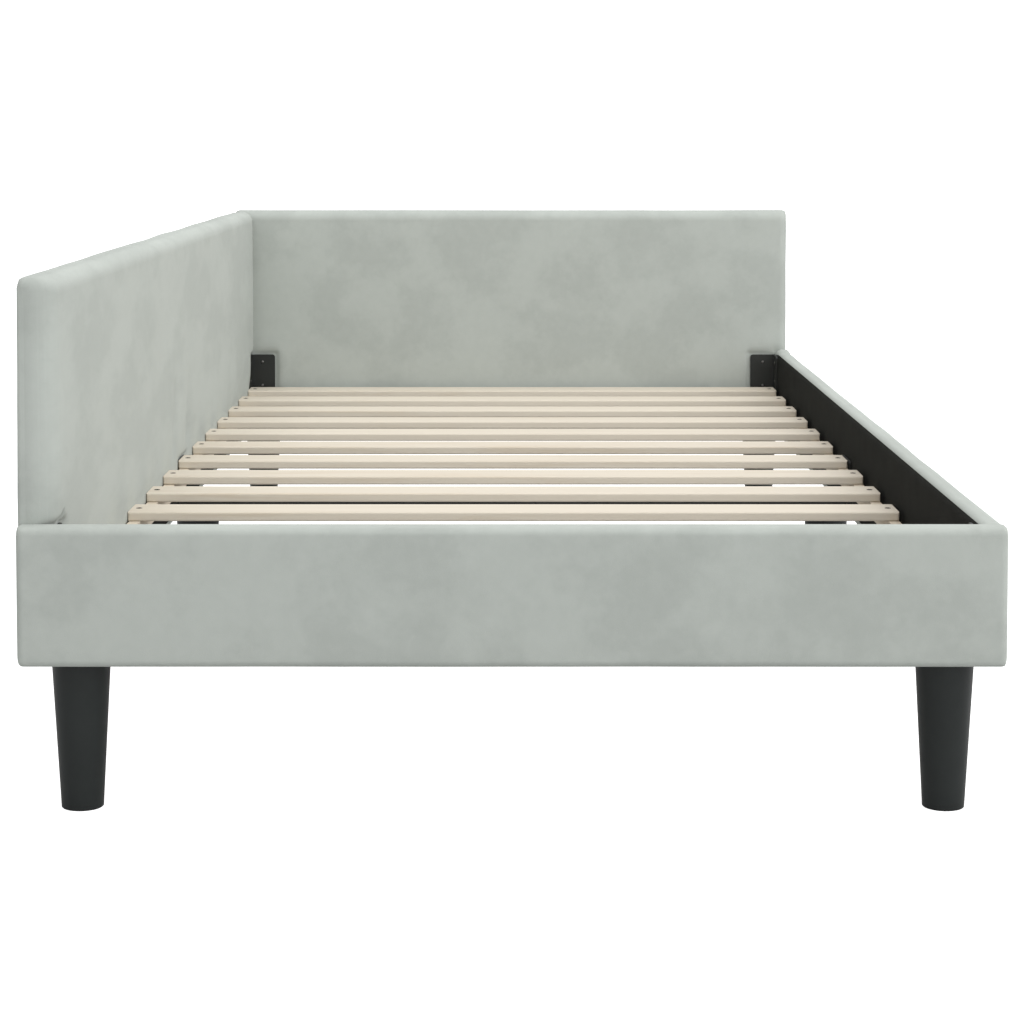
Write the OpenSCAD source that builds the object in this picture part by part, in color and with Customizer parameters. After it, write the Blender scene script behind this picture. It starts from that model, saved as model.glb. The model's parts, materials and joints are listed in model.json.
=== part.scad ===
// Daybed for a 1000 x 2000 mm mattress: four upholstered panels bolted at the corners by steel
// brackets, a slatted base on side battens, a steel crossbar at mid-length and six tapered legs.
// +Z is up, -Y is the foot end, -X is the backrest side and +X is the open side.
// The origin is on the floor, under the centre of the bed.

/* [Overall size] */
// Width across the backrest and the open side rail
overall_w = 1076; // [1066:1:1086]
// Length from the foot rail to the rear of the headboard
overall_l = 2100; // [2092:1:2110]
// Height to the top of the headboard
overall_h = 590; // [540:1:640]
// Height to the top of the foot rail and the side rail
rail_top = 319; // [316:1:325]
// Height of the legs, up to the underside of the panels
leg_h = 166; // [150:1:175]

/* [Panels] */
// Thickness of the foot rail and the side rail
rail_t = 28; // [27:1:30]
// Thickness of the backrest at its foot
back_t = 39; // [37:1:42]
// Extra thickness of the backrest where its padding is fullest
back_crown = 7; // [3:1:8]
// Thickness of the headboard
head_t = 55; // [50:1:60]
// Thickness of the velvet covers and of the black linings
cover_t = 1.5; // [1:0.1:2]
// Height up to which the black lining covers the inner face of the backrest and the headboard
lining_top = 236; // [232:1:239]

/* [Slatted base] */
// Number of slats
slat_n = 13; // [12:1:13]
// Width of one slat, along the bed
slat_w = 68; // [60:1:72]
// Thickness of one slat
slat_t = 12; // [10:1:14]
// Distance between the front edges of neighbouring slats
slat_pitch = 159.7; // [158:0.1:160]
// Side of the square battens that carry the slats
batten = 20; // [18:1:22]

/* [Legs and steelwork] */
// Radius of a leg at its top
leg_r_top = 32.3; // [28:0.1:34]
// Radius of a leg at its foot
leg_r_foot = 23.1; // [22:0.1:26]
// Side of the crossbar
crossbar = 30; // [26:1:32]
// Thickness of the bracket steel
steel_t = 3; // [2:0.5:3]
// Width of the corner bracket's flanges
flange_w = 47.5; // [40:0.5:50]

/* [Hidden] */

// Outer faces
x_right = overall_w / 2;
x_left = -x_right;
y_head = overall_l / 2;
y_foot = -y_head;
foot_inset = 4;
head_inset_left = 10;
head_inset_right = 6;
seat = leg_h;

// Inner faces of the four panels
foot_in = y_foot + rail_t;
head_in = y_head - head_t;
side_in = x_right - rail_t;
back_in = x_left + back_t;

// Upholstery
big_r = 9;
small_r = 5;
end_r = 6;
rail_in_r = 3;
low_r = 3;
arc_steps = 6;
rail_board_t = 18;
back_board_t = 18;
head_board_t = 35;
rear_foam = 5;
top_foam = 6;
lining_edge = 8;

// Slatted base
base_z = 240;
batten_z = base_z - batten;
slat_y0 = y_foot + 43;
slat_x0 = -495;
slat_x1 = 504;
slat_r = 2.5;
slat_screw_in = 10;
batten_gap = 0.5;
batten_bevel = 6;

// Steelwork
flange_top = 313;
steel_r = 5;
plate_w = 62;
mid_flange_w = 80;
mid_flange_top = 250;
mid_plate_w = 92;
crossbar_wall = 1.5;
crossbar_bolt_in = 74;

// Legs
leg_x_right = 478.5;
leg_x_left = -472.5;
leg_y_foot = y_foot + 54;
leg_y_head = y_head - 72;
glide_r = 19;
glide_t = 3;
glide_proud = 0.3;
foot_chamfer = 0.8;
stud_r = 4;
stud_depth = 65;
stud_up = 15;
nut_t = 6.5;
nut_r = 7.5;

// Fasteners
clear = 0.15;
screw_r = 1.7;
head_r = 3;
head_h = 1.4;
slat_head_r = 4.2;
slat_head_h = 1.6;
slat_head_sunk = 0.5;
bolt_r = 3;
bolt_head_r = 5.5;
bolt_head_h = 4;
bolt_nut_t = 5;
bolt_end = 2;
end_screw_z = [209, 254, 299];
side_screw_z = [209, 264, 299];
mid_screw_z = [190, 212];
mid_screw_y = 30;
rail_screw_l = 18;
back_screw_l = 32;
head_screw_l = 36;
rail_batten_screw_l = 35;
back_batten_screw_l = 48;

// Colours
velvet = [0.66, 0.69, 0.65];
black_cloth = [0.10, 0.10, 0.09];
foam_white = [0.92, 0.90, 0.80];
raw_board = [0.72, 0.60, 0.44];
pale_wood = [0.90, 0.80, 0.66];
black_steel = [0.09, 0.09, 0.09];
leg_black = [0.12, 0.13, 0.13];
zinc = [0.62, 0.63, 0.64];

// Quarter circle about (cx, cy) from the angle start, or the corner itself when r is 0
function arc(cx, cy, r, start) =
    r == 0 ? [[cx, cy]]
    : [for (a = [start:90 / arc_steps:start + 90]) [cx + r * cos(a), cy + r * sin(a)]];

// Rectangle from lo to hi with corner radii r, anticlockwise from the high-high corner
function round_rect(lo, hi, r) = concat(
    arc(hi[0] - r[0], hi[1] - r[0], r[0], 0),
    arc(lo[0] + r[1], hi[1] - r[1], r[1], 90),
    arc(lo[0] + r[2], lo[1] + r[2], r[2], 180),
    arc(hi[0] - r[3], lo[1] + r[3], r[3], 270)
);

function shrunk(r, by) = [for (v = r) max(v - by, 0)];

function slat_y(i) = slat_y0 + slat_pitch * i;

// Prisms along each axis from a cross-section
module along_x(x0, x1) translate([x0, 0, 0]) rotate([90, 0, 90]) linear_extrude(x1 - x0) children();
module along_y(y0, y1) translate([0, y1, 0]) rotate([90, 0, 0]) linear_extrude(y1 - y0) children();
module along_z(z0, z1) translate([0, 0, z0]) linear_extrude(z1 - z0) children();

module block(lo, hi) translate(lo) cube(hi - lo);

// Padded panel: rounded in end view, in plan and in side view
module soft_block(lo, hi, r_yz, r_xy, r_xz) {
    intersection() {
        along_x(lo[0], hi[0]) polygon(round_rect([lo[1], lo[2]], [hi[1], hi[2]], r_yz));
        along_z(lo[2], hi[2]) polygon(round_rect([lo[0], lo[1]], [hi[0], hi[1]], r_xy));
        along_y(lo[1], hi[1]) polygon(round_rect([lo[0], lo[2]], [hi[0], hi[2]], r_xz));
    }
}

// ---- Fasteners, as shafts that also drill their own holes ----

module shaft_x(x0, x1, y, z, r) {
    translate([x0, y, z]) rotate([0, 90, 0]) cylinder(h = x1 - x0, r = r, $fn = 32);
}

module shaft_y(y0, y1, x, z, r) {
    translate([x, y1, z]) rotate([90, 0, 0]) cylinder(h = y1 - y0, r = r, $fn = 32);
}

module shaft_z(z0, z1, x, y, r) {
    translate([x, y, z0]) cylinder(h = z1 - z0, r = r, $fn = 32);
}

// Screws through the end flanges, into the foot rail and into the headboard
module foot_screws(r, with_head) {
    for (x = [back_in + flange_w / 2, side_in - flange_w / 2], z = end_screw_z) {
        shaft_y(foot_in + steel_t - rail_screw_l, foot_in + steel_t, x, z, r);
        if (with_head) shaft_y(foot_in + steel_t, foot_in + steel_t + head_h, x, z, head_r);
    }
}

module head_screws(r, with_head) {
    for (x = [back_in + flange_w / 2, side_in - flange_w / 2], z = end_screw_z) {
        shaft_y(head_in - steel_t, head_in - steel_t + head_screw_l, x, z, r);
        if (with_head) shaft_y(head_in - steel_t - head_h, head_in - steel_t, x, z, head_r);
    }
}

// Places of the screws on the side flanges, as [y, z]
side_screw_places = concat(
    [for (y = [foot_in + flange_w / 2, head_in - flange_w / 2], z = side_screw_z) [y, z]],
    [for (y = [-mid_screw_y, mid_screw_y], z = mid_screw_z) [y, z]]
);

module side_screws(r, with_head) {
    for (p = side_screw_places) {
        shaft_x(side_in - steel_t, side_in - steel_t + rail_screw_l, p[0], p[1], r);
        if (with_head) shaft_x(side_in - steel_t - head_h, side_in - steel_t, p[0], p[1], head_r);
    }
}

module back_screws(r, with_head) {
    for (p = side_screw_places) {
        shaft_x(back_in + steel_t - back_screw_l, back_in + steel_t, p[0], p[1], r);
        if (with_head) shaft_x(back_in + steel_t, back_in + steel_t + head_h, p[0], p[1], head_r);
    }
}

// Batten screws stand in every other gap between the slats
batten_screw_y = [for (i = [1:2:slat_n - 1]) slat_y(i) - (slat_pitch - slat_w) / 2];

module side_batten_screws(r) {
    for (y = batten_screw_y) {
        shaft_x(side_in - batten, side_in - batten + rail_batten_screw_l, y, batten_z + batten / 2, r);
    }
}

module back_batten_screws(r) {
    for (y = batten_screw_y) {
        shaft_x(back_in + batten - back_batten_screw_l, back_in + batten, y, batten_z + batten / 2, r);
    }
}

// ---- Foot rail ----

foot_lo = [x_left + foot_inset, y_foot, seat];
foot_hi = [x_right, foot_in, rail_top];

module foot_rail_body(inset) {
    soft_block(foot_lo + inset * [1, 1, 1], foot_hi - inset * [1, 1, 1],
        shrunk([rail_in_r, big_r, low_r, 0], inset),
        shrunk([0, 0, end_r, end_r], inset),
        shrunk([small_r, small_r, low_r, low_r], inset));
}

module foot_rail_lining_space() {
    block([foot_lo[0] + lining_edge, foot_in - cover_t, seat + lining_edge],
        [foot_hi[0] - lining_edge, foot_in, rail_top - rail_in_r]);
}

module foot_rail_board_space() {
    block([foot_lo[0] + top_foam, foot_in - cover_t - rail_board_t, seat + cover_t],
        [foot_hi[0] - top_foam, foot_in - cover_t, rail_top - top_foam]);
}

module foot_rail_cover() {
    color(velvet) difference() {
        foot_rail_body(0);
        foot_rail_body(cover_t);
        foot_rail_lining_space();
    }
}

module foot_rail_foam() {
    color(foam_white) difference() {
        foot_rail_body(cover_t);
        foot_rail_board_space();
    }
}

module foot_rail_board() {
    color(raw_board) difference() {
        foot_rail_board_space();
        foot_screws(screw_r + clear, false);
    }
}

module foot_rail_lining() {
    color(black_cloth) difference() {
        foot_rail_lining_space();
        foot_screws(screw_r + clear, false);
    }
}

// ---- Side rail, on the open side ----

side_lo = [side_in, foot_in, seat];
side_hi = [x_right, head_in, rail_top];

module side_rail_body(inset) {
    soft_block(side_lo + inset * [1, 1, 1], side_hi - inset * [1, 1, 1],
        [0, 0, 0, 0],
        [0, 0, 0, 0],
        shrunk([big_r, rail_in_r, 0, low_r], inset));
}

module side_rail_lining_space() {
    block([side_in, foot_in + lining_edge, seat + lining_edge],
        [side_in + cover_t, head_in - lining_edge, rail_top - rail_in_r]);
}

module side_rail_board_space() {
    block([side_in + cover_t, foot_in + cover_t, seat + cover_t],
        [side_in + cover_t + rail_board_t, head_in - cover_t, rail_top - top_foam]);
}

module side_rail_cover() {
    color(velvet) difference() {
        side_rail_body(0);
        side_rail_body(cover_t);
        side_rail_lining_space();
    }
}

module side_rail_foam() {
    color(foam_white) difference() {
        side_rail_body(cover_t);
        side_rail_board_space();
    }
}

module side_rail_board() {
    color(raw_board) difference() {
        side_rail_board_space();
        side_screws(screw_r + clear, false);
        side_batten_screws(screw_r + clear);
    }
}

module side_rail_lining() {
    color(black_cloth) difference() {
        side_rail_lining_space();
        side_screws(screw_r + clear, false);
        side_batten_screws(screw_r + clear);
    }
}

// ---- Backrest ----

back_drop = 2;
back_top = overall_h - back_drop;
back_lo = [x_left, foot_in, seat];
back_hi = [back_in + back_crown, head_in, back_top];
crown_low = rail_top + 1;
crown_full = 400;
back_top_r = 24;
back_front_r = 26;

// End view, with the padding fuller above the height of the rails
function back_profile(by) = concat(
    arc(back_hi[0] - back_top_r, back_top - back_top_r, back_top_r - by, 0),
    arc(x_left + big_r, back_top - big_r, big_r - by, 90),
    arc(x_left + low_r, seat + low_r, low_r - by, 180),
    [[back_in - by, seat + by], [back_in - by, crown_low], [back_hi[0] - by, crown_full]]
);

module backrest_body(inset) {
    intersection() {
        along_y(foot_in + inset, head_in - inset) polygon(back_profile(inset));
        along_z(seat, back_top)
            polygon(round_rect([x_left + inset, foot_in + inset], [back_hi[0] - inset, head_in - inset],
                shrunk([0, 0, big_r, back_front_r], inset)));
    }
}

module backrest_lining_space() {
    block([back_in - cover_t, foot_in + lining_edge, seat + lining_edge],
        [back_in, head_in - lining_edge, lining_top]);
}

module backrest_board_space() {
    x0 = x_left + cover_t + rear_foam;
    block([x0, foot_in + cover_t + top_foam, seat + cover_t],
        [x0 + back_board_t, head_in - cover_t, back_top - cover_t - 2 * top_foam]);
}

module backrest_cover() {
    color(velvet) difference() {
        backrest_body(0);
        backrest_body(cover_t);
        backrest_lining_space();
        back_screws(screw_r + clear, false);
    }
}

module backrest_foam() {
    color(foam_white) difference() {
        backrest_body(cover_t);
        backrest_board_space();
        back_screws(screw_r + clear, false);
        back_batten_screws(screw_r + clear);
    }
}

module backrest_board() {
    color(raw_board) difference() {
        backrest_board_space();
        back_screws(screw_r + clear, false);
        back_batten_screws(screw_r + clear);
    }
}

module backrest_lining() {
    color(black_cloth) difference() {
        backrest_lining_space();
        back_screws(screw_r + clear, false);
        back_batten_screws(screw_r + clear);
    }
}

// ---- Headboard ----

head_lo = [x_left + head_inset_left, head_in, seat];
head_hi = [x_right - head_inset_right, y_head, overall_h];
head_top_r = 22;

module headboard_body(inset) {
    soft_block(head_lo + inset * [1, 1, 1], head_hi - inset * [1, 1, 1],
        shrunk([big_r, head_top_r, 0, low_r], inset),
        shrunk([big_r, big_r, low_r, big_r], inset),
        shrunk([small_r, small_r, low_r, low_r], inset));
}

module headboard_lining_space() {
    block([back_in, head_in, seat + lining_edge], [side_in, head_in + cover_t, lining_top]);
}

module headboard_board_space() {
    block([head_lo[0] + top_foam, y_head - cover_t - rear_foam - head_board_t, seat + cover_t],
        [head_hi[0] - top_foam, y_head - cover_t - rear_foam, overall_h - cover_t - 2 * top_foam]);
}

module headboard_cover() {
    color(velvet) difference() {
        headboard_body(0);
        headboard_body(cover_t);
        headboard_lining_space();
        head_screws(screw_r + clear, false);
    }
}

module headboard_foam() {
    color(foam_white) difference() {
        headboard_body(cover_t);
        headboard_board_space();
        head_screws(screw_r + clear, false);
    }
}

module headboard_board() {
    color(raw_board) difference() {
        headboard_board_space();
        head_screws(screw_r + clear, false);
    }
}

module headboard_lining() {
    color(black_cloth) difference() {
        headboard_lining_space();
        head_screws(screw_r + clear, false);
    }
}

// ---- Slatted base ----

// Stretches of the bed where steel flanges pass behind the battens, as [from, to]
flange_runs = [
    [foot_in, foot_in + flange_w + clear],
    [-mid_flange_w / 2 - clear, mid_flange_w / 2 + clear],
    [head_in - flange_w - clear, head_in]
];

// Shallow housings in a batten where the steel flanges pass behind it
module flange_housings(x0, x1) {
    for (run = flange_runs) {
        block([x0, run[0], batten_z - 1], [x1, run[1], base_z + 1]);
    }
}

batten_y0 = foot_in + steel_t + batten_gap;
batten_y1 = head_in - steel_t - batten_gap;

// Batten from its outer side x_out to its inner side x_in, bevelled along its top outer edge
module batten_bar(x_out, x_in) {
    bevel = sign(x_in - x_out) * batten_bevel;
    along_y(batten_y0, batten_y1) polygon([
        [x_out, batten_z], [x_in, batten_z], [x_in, base_z],
        [x_out + bevel, base_z], [x_out, base_z - batten_bevel]
    ]);
}

module batten_left() {
    color(pale_wood) difference() {
        batten_bar(back_in, back_in + batten);
        flange_housings(back_in - 1, back_in + steel_t + clear);
        back_batten_screws(screw_r + clear);
        slat_screw_shafts(screw_r + clear);
    }
}

module batten_right() {
    color(pale_wood) difference() {
        batten_bar(side_in, side_in - batten);
        flange_housings(side_in - steel_t - clear, side_in + 1);
        side_batten_screws(screw_r + clear);
        slat_screw_shafts(screw_r + clear);
    }
}

slat_screw_x = [slat_x0 + slat_screw_in, slat_x1 - slat_screw_in];
slat_head_z = base_z + slat_t - slat_head_sunk - slat_head_h;

module slat_screw_shafts(r) {
    for (i = [0:slat_n - 1], x = slat_screw_x) {
        shaft_z(batten_z + batten / 4, base_z + slat_t, x, slat_y(i) + slat_w / 2, r);
    }
}

module slat(i) {
    y = slat_y(i);
    color(pale_wood) difference() {
        intersection() {
            along_x(slat_x0, slat_x1)
                polygon(round_rect([y, base_z], [y + slat_w, base_z + slat_t], slat_r * [1, 1, 1, 1]));
            along_z(base_z, base_z + slat_t)
                polygon(round_rect([slat_x0, y], [slat_x1, y + slat_w], slat_r * [1, 1, 1, 1]));
        }
        for (x = slat_screw_x) {
            shaft_z(base_z - 1, base_z + slat_t + 1, x, y + slat_w / 2, screw_r + clear);
            shaft_z(slat_head_z, base_z + slat_t + 1, x, y + slat_w / 2, slat_head_r + clear);
        }
    }
}

// Screws whose heads sit just below the tops of the slats, clear of the mattress
module slat_screws() {
    color(black_steel) for (i = [0:slat_n - 1], x = slat_screw_x) {
        shaft_z(batten_z + batten / 4 + 1, slat_head_z, x, slat_y(i) + slat_w / 2, screw_r);
        shaft_z(slat_head_z, slat_head_z + slat_head_h, x, slat_y(i) + slat_w / 2, slat_head_r);
    }
}

module batten_screws() {
    color(zinc) {
        side_batten_screws(screw_r);
        back_batten_screws(screw_r);
    }
}

// ---- Steelwork ----

// Corner bracket: two upright flanges and the plate that takes the leg's stud.
// sx is -1 at the backrest and +1 at the open side; sy is -1 at the foot end and +1 at the head end
module corner_bracket(sx, sy) {
    x_in = sx > 0 ? side_in : back_in;
    y_in = sy > 0 ? head_in : foot_in;
    flange = round_rect([0, 0], [flange_w, flange_top - seat], [steel_r, 0, 0, 0]);
    color(black_steel) difference() {
        translate([x_in, y_in, seat]) mirror([sx > 0 ? 1 : 0, 0, 0]) mirror([0, sy > 0 ? 1 : 0, 0]) {
            along_y(0, steel_t) polygon(flange);
            along_x(0, steel_t) polygon(flange);
            along_z(0, steel_t) polygon(round_rect([0, 0], [plate_w, plate_w], [steel_r, 0, 0, 0]));
        }
        foot_screws(screw_r + clear, false);
        head_screws(screw_r + clear, false);
        side_screws(screw_r + clear, false);
        back_screws(screw_r + clear, false);
        leg_stud_shafts(stud_r + clear);
    }
}

module corner_bracket_foot_left() corner_bracket(-1, -1);
module corner_bracket_foot_right() corner_bracket(1, -1);
module corner_bracket_head_left() corner_bracket(-1, 1);
module corner_bracket_head_right() corner_bracket(1, 1);

// Mid bracket: one flange on the side panel and the plate that takes the leg and the crossbar
module mid_bracket(sx) {
    x_in = sx > 0 ? side_in : back_in;
    color(black_steel) difference() {
        translate([x_in, 0, seat]) mirror([sx > 0 ? 1 : 0, 0, 0]) {
            along_x(0, steel_t) polygon(round_rect([-mid_flange_w / 2, 0],
                [mid_flange_w / 2, mid_flange_top - seat], [steel_r, steel_r, 0, 0]));
            along_z(0, steel_t) polygon(round_rect([0, -mid_flange_w / 2],
                [mid_plate_w, mid_flange_w / 2], [steel_r, 0, 0, steel_r]));
        }
        side_screws(screw_r + clear, false);
        back_screws(screw_r + clear, false);
        leg_stud_shafts(stud_r + clear);
        crossbar_bolt_shafts(bolt_r + clear);
    }
}

module mid_bracket_left() mid_bracket(-1);
module mid_bracket_right() mid_bracket(1);

// Inverted channel that rests on the two mid brackets and covers the leg nuts
module mid_crossbar() {
    z0 = seat + steel_t;
    color(black_steel) difference() {
        block([back_in + steel_t, -crossbar / 2, z0], [side_in - steel_t, crossbar / 2, z0 + crossbar]);
        block([back_in, crossbar_wall - crossbar / 2, z0 - 1],
            [side_in, crossbar / 2 - crossbar_wall, z0 + crossbar - crossbar_wall]);
        crossbar_bolt_shafts(bolt_r + clear);
    }
}

crossbar_bolt_x = [back_in + crossbar_bolt_in, side_in - crossbar_bolt_in];

module crossbar_bolt_shafts(r) {
    for (x = crossbar_bolt_x) {
        shaft_z(seat - bolt_nut_t - bolt_end, seat + steel_t + crossbar, x, 0, r);
    }
}

module crossbar_bolts() {
    z_top = seat + steel_t + crossbar;
    color(zinc) {
        crossbar_bolt_shafts(bolt_r);
        for (x = crossbar_bolt_x) {
            translate([x, 0, z_top]) cylinder(h = bolt_head_h, r = bolt_head_r, $fn = 6);
        }
    }
}

module crossbar_nuts() {
    color(zinc) difference() {
        for (x = crossbar_bolt_x) {
            translate([x, 0, seat - bolt_nut_t]) cylinder(h = bolt_nut_t, r = bolt_head_r, $fn = 6);
        }
        crossbar_bolt_shafts(bolt_r + clear);
    }
}

// ---- Legs ----

leg_places = [
    [leg_x_left, leg_y_foot], [leg_x_right, leg_y_foot],
    [leg_x_left, 0], [leg_x_right, 0],
    [leg_x_left, leg_y_head], [leg_x_right, leg_y_head]
];

module leg_stud_shafts(r) {
    for (p = leg_places) {
        shaft_z(seat - stud_depth, seat + stud_up, p[0], p[1], r);
    }
}

// Tapered leg with a chamfered foot, a socket for the stud and a recess for the glide
module leg(p) {
    color(leg_black) difference() {
        translate([p[0], p[1], 0]) rotate_extrude($fn = 96) polygon([
            [0, glide_proud], [leg_r_foot - foot_chamfer, glide_proud],
            [leg_r_foot, glide_proud + foot_chamfer], [leg_r_top, seat], [0, seat]
        ]);
        shaft_z(seat - stud_depth - 1, seat + 1, p[0], p[1], stud_r + clear);
        translate([p[0], p[1], -1]) cylinder(h = glide_t + 1, r = glide_r + clear, $fn = 64);
    }
}

module leg_foot_left() leg(leg_places[0]);
module leg_foot_right() leg(leg_places[1]);
module leg_mid_left() leg(leg_places[2]);
module leg_mid_right() leg(leg_places[3]);
module leg_head_left() leg(leg_places[4]);
module leg_head_right() leg(leg_places[5]);

module leg_glides() {
    color(black_cloth) for (p = leg_places) {
        translate([p[0], p[1], 0]) cylinder(h = glide_t, r = glide_r, $fn = 64);
    }
}

module leg_studs() {
    color(zinc) leg_stud_shafts(stud_r);
}

module leg_nuts() {
    color(zinc) difference() {
        for (p = leg_places) {
            translate([p[0], p[1], seat + steel_t]) cylinder(h = nut_t, r = nut_r, $fn = 6);
        }
        leg_stud_shafts(stud_r + clear);
    }
}

module bracket_screws() {
    color(zinc) {
        foot_screws(screw_r, true);
        head_screws(screw_r, true);
        side_screws(screw_r, true);
        back_screws(screw_r, true);
    }
}

foot_rail_cover();
foot_rail_foam();
foot_rail_board();
foot_rail_lining();
side_rail_cover();
side_rail_foam();
side_rail_board();
side_rail_lining();
backrest_cover();
backrest_foam();
backrest_board();
backrest_lining();
headboard_cover();
headboard_foam();
headboard_board();
headboard_lining();
batten_left();
batten_right();
slat(0);  // slat_01
slat(1);  // slat_02
slat(2);  // slat_03
slat(3);  // slat_04
slat(4);  // slat_05
slat(5);  // slat_06
slat(6);  // slat_07
slat(7);  // slat_08
slat(8);  // slat_09
slat(9);  // slat_10
slat(10);  // slat_11
slat(11);  // slat_12
slat(12);  // slat_13
corner_bracket_foot_left();
corner_bracket_foot_right();
corner_bracket_head_left();
corner_bracket_head_right();
mid_bracket_left();
mid_bracket_right();
mid_crossbar();
leg_foot_left();
leg_foot_right();
leg_mid_left();
leg_mid_right();
leg_head_left();
leg_head_right();
leg_glides();
leg_studs();
leg_nuts();
slat_screws();
batten_screws();
bracket_screws();
crossbar_bolts();
crossbar_nuts();
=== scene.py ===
"""Daybed: the looks of the bed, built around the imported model."""
import json
import math
import random

import bmesh
import bpy
import numpy as np
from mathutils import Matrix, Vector


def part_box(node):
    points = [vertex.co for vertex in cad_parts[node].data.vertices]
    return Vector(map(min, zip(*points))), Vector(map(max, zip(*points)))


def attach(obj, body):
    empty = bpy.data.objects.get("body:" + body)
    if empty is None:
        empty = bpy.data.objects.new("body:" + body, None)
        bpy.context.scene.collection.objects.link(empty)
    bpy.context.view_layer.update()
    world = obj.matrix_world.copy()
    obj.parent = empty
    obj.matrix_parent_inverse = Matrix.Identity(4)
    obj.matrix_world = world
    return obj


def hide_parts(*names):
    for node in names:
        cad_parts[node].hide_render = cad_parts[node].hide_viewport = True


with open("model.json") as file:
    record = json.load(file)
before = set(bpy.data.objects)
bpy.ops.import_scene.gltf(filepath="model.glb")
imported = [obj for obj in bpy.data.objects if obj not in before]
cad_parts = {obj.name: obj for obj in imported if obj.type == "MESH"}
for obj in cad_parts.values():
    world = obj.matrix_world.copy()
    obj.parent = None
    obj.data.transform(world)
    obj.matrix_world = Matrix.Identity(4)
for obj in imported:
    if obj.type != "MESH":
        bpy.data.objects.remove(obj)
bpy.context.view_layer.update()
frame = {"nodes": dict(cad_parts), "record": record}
MM = 0.001


# ---------------------------------------------------------------- camera

CAM_PLACE = (-0.0012, -3.6209, 0.7492)
CAM_PITCH = math.radians(3.3)
CAM_LENS = 84.684
CAM_SHIFT = (0.0028, -0.2401)


def make_camera():
    data = bpy.data.cameras.new("camera")
    data.lens = CAM_LENS
    data.sensor_width = 36.0
    data.shift_x, data.shift_y = CAM_SHIFT
    cam = bpy.data.objects.new("camera", data)
    cam.location = CAM_PLACE
    cam.rotation_euler = (math.pi / 2 - CAM_PITCH, 0.0, 0.0)
    bpy.context.scene.collection.objects.link(cam)
    bpy.context.scene.camera = cam


# ---------------------------------------------------------------- materials

def new_material(name):
    """An empty node material: (material, its nodes, its links, its Principled shader)."""
    mat = bpy.data.materials.new(name)
    mat.use_nodes = True
    tree = mat.node_tree
    tree.nodes.clear()
    out = tree.nodes.new("ShaderNodeOutputMaterial")
    shader = tree.nodes.new("ShaderNodeBsdfPrincipled")
    tree.links.new(shader.outputs["BSDF"], out.inputs["Surface"])
    return mat, tree.nodes, tree.links, shader


def scaled_place(nodes, links, scale):
    """Object coordinates in metres, stretched by scale along each axis."""
    place = nodes.new("ShaderNodeTexCoord")
    mapping = nodes.new("ShaderNodeMapping")
    mapping.inputs["Scale"].default_value = scale
    links.new(place.outputs["Object"], mapping.inputs["Vector"])
    return mapping.outputs["Vector"]


def noise_node(nodes, links, where, scale, detail=3.0, rough=0.5, distortion=0.0):
    tex = nodes.new("ShaderNodeTexNoise")
    tex.inputs["Scale"].default_value = scale
    tex.inputs["Detail"].default_value = detail
    tex.inputs["Roughness"].default_value = rough
    tex.inputs["Distortion"].default_value = distortion
    links.new(where, tex.inputs["Vector"])
    return tex.outputs["Fac"]


def map_range(nodes, links, value, low, high, new_low, new_high):
    node = nodes.new("ShaderNodeMapRange")
    node.inputs["From Min"].default_value = low
    node.inputs["From Max"].default_value = high
    node.inputs["To Min"].default_value = new_low
    node.inputs["To Max"].default_value = new_high
    links.new(value, node.inputs["Value"])
    return node.outputs["Result"]


def maths(nodes, links, kind, a, b):
    node = nodes.new("ShaderNodeMath")
    node.operation = kind
    for socket, value in zip(node.inputs, (a, b)):
        if isinstance(value, (int, float)):
            socket.default_value = value
        else:
            links.new(value, socket)
    return node.outputs["Value"]


def mixed(nodes, links, a, share_a, b, share_b):
    """The sum of a and b, each times its share."""
    return maths(nodes, links, "ADD",
                 maths(nodes, links, "MULTIPLY", a, share_a),
                 maths(nodes, links, "MULTIPLY", b, share_b))


def colour_ramp(nodes, links, value, stops):
    """A ramp through stops, each (position, (r, g, b))."""
    ramp = nodes.new("ShaderNodeValToRGB")
    elements = ramp.color_ramp.elements
    while len(elements) < len(stops):
        elements.new(0.5)
    for element, (at, colour) in zip(elements, stops):
        element.position = at
        element.color = (*colour, 1.0)
    links.new(value, ramp.inputs["Fac"])
    return ramp.outputs["Color"]


def add_bump(nodes, links, shader, height, strength, distance):
    bump = nodes.new("ShaderNodeBump")
    bump.inputs["Strength"].default_value = strength
    bump.inputs["Distance"].default_value = distance
    links.new(height, bump.inputs["Height"])
    links.new(bump.outputs["Normal"], shader.inputs["Normal"])


def shade(colour, by):
    return tuple(c * by for c in colour)


VELVET = (0.403, 0.430, 0.402)


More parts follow.
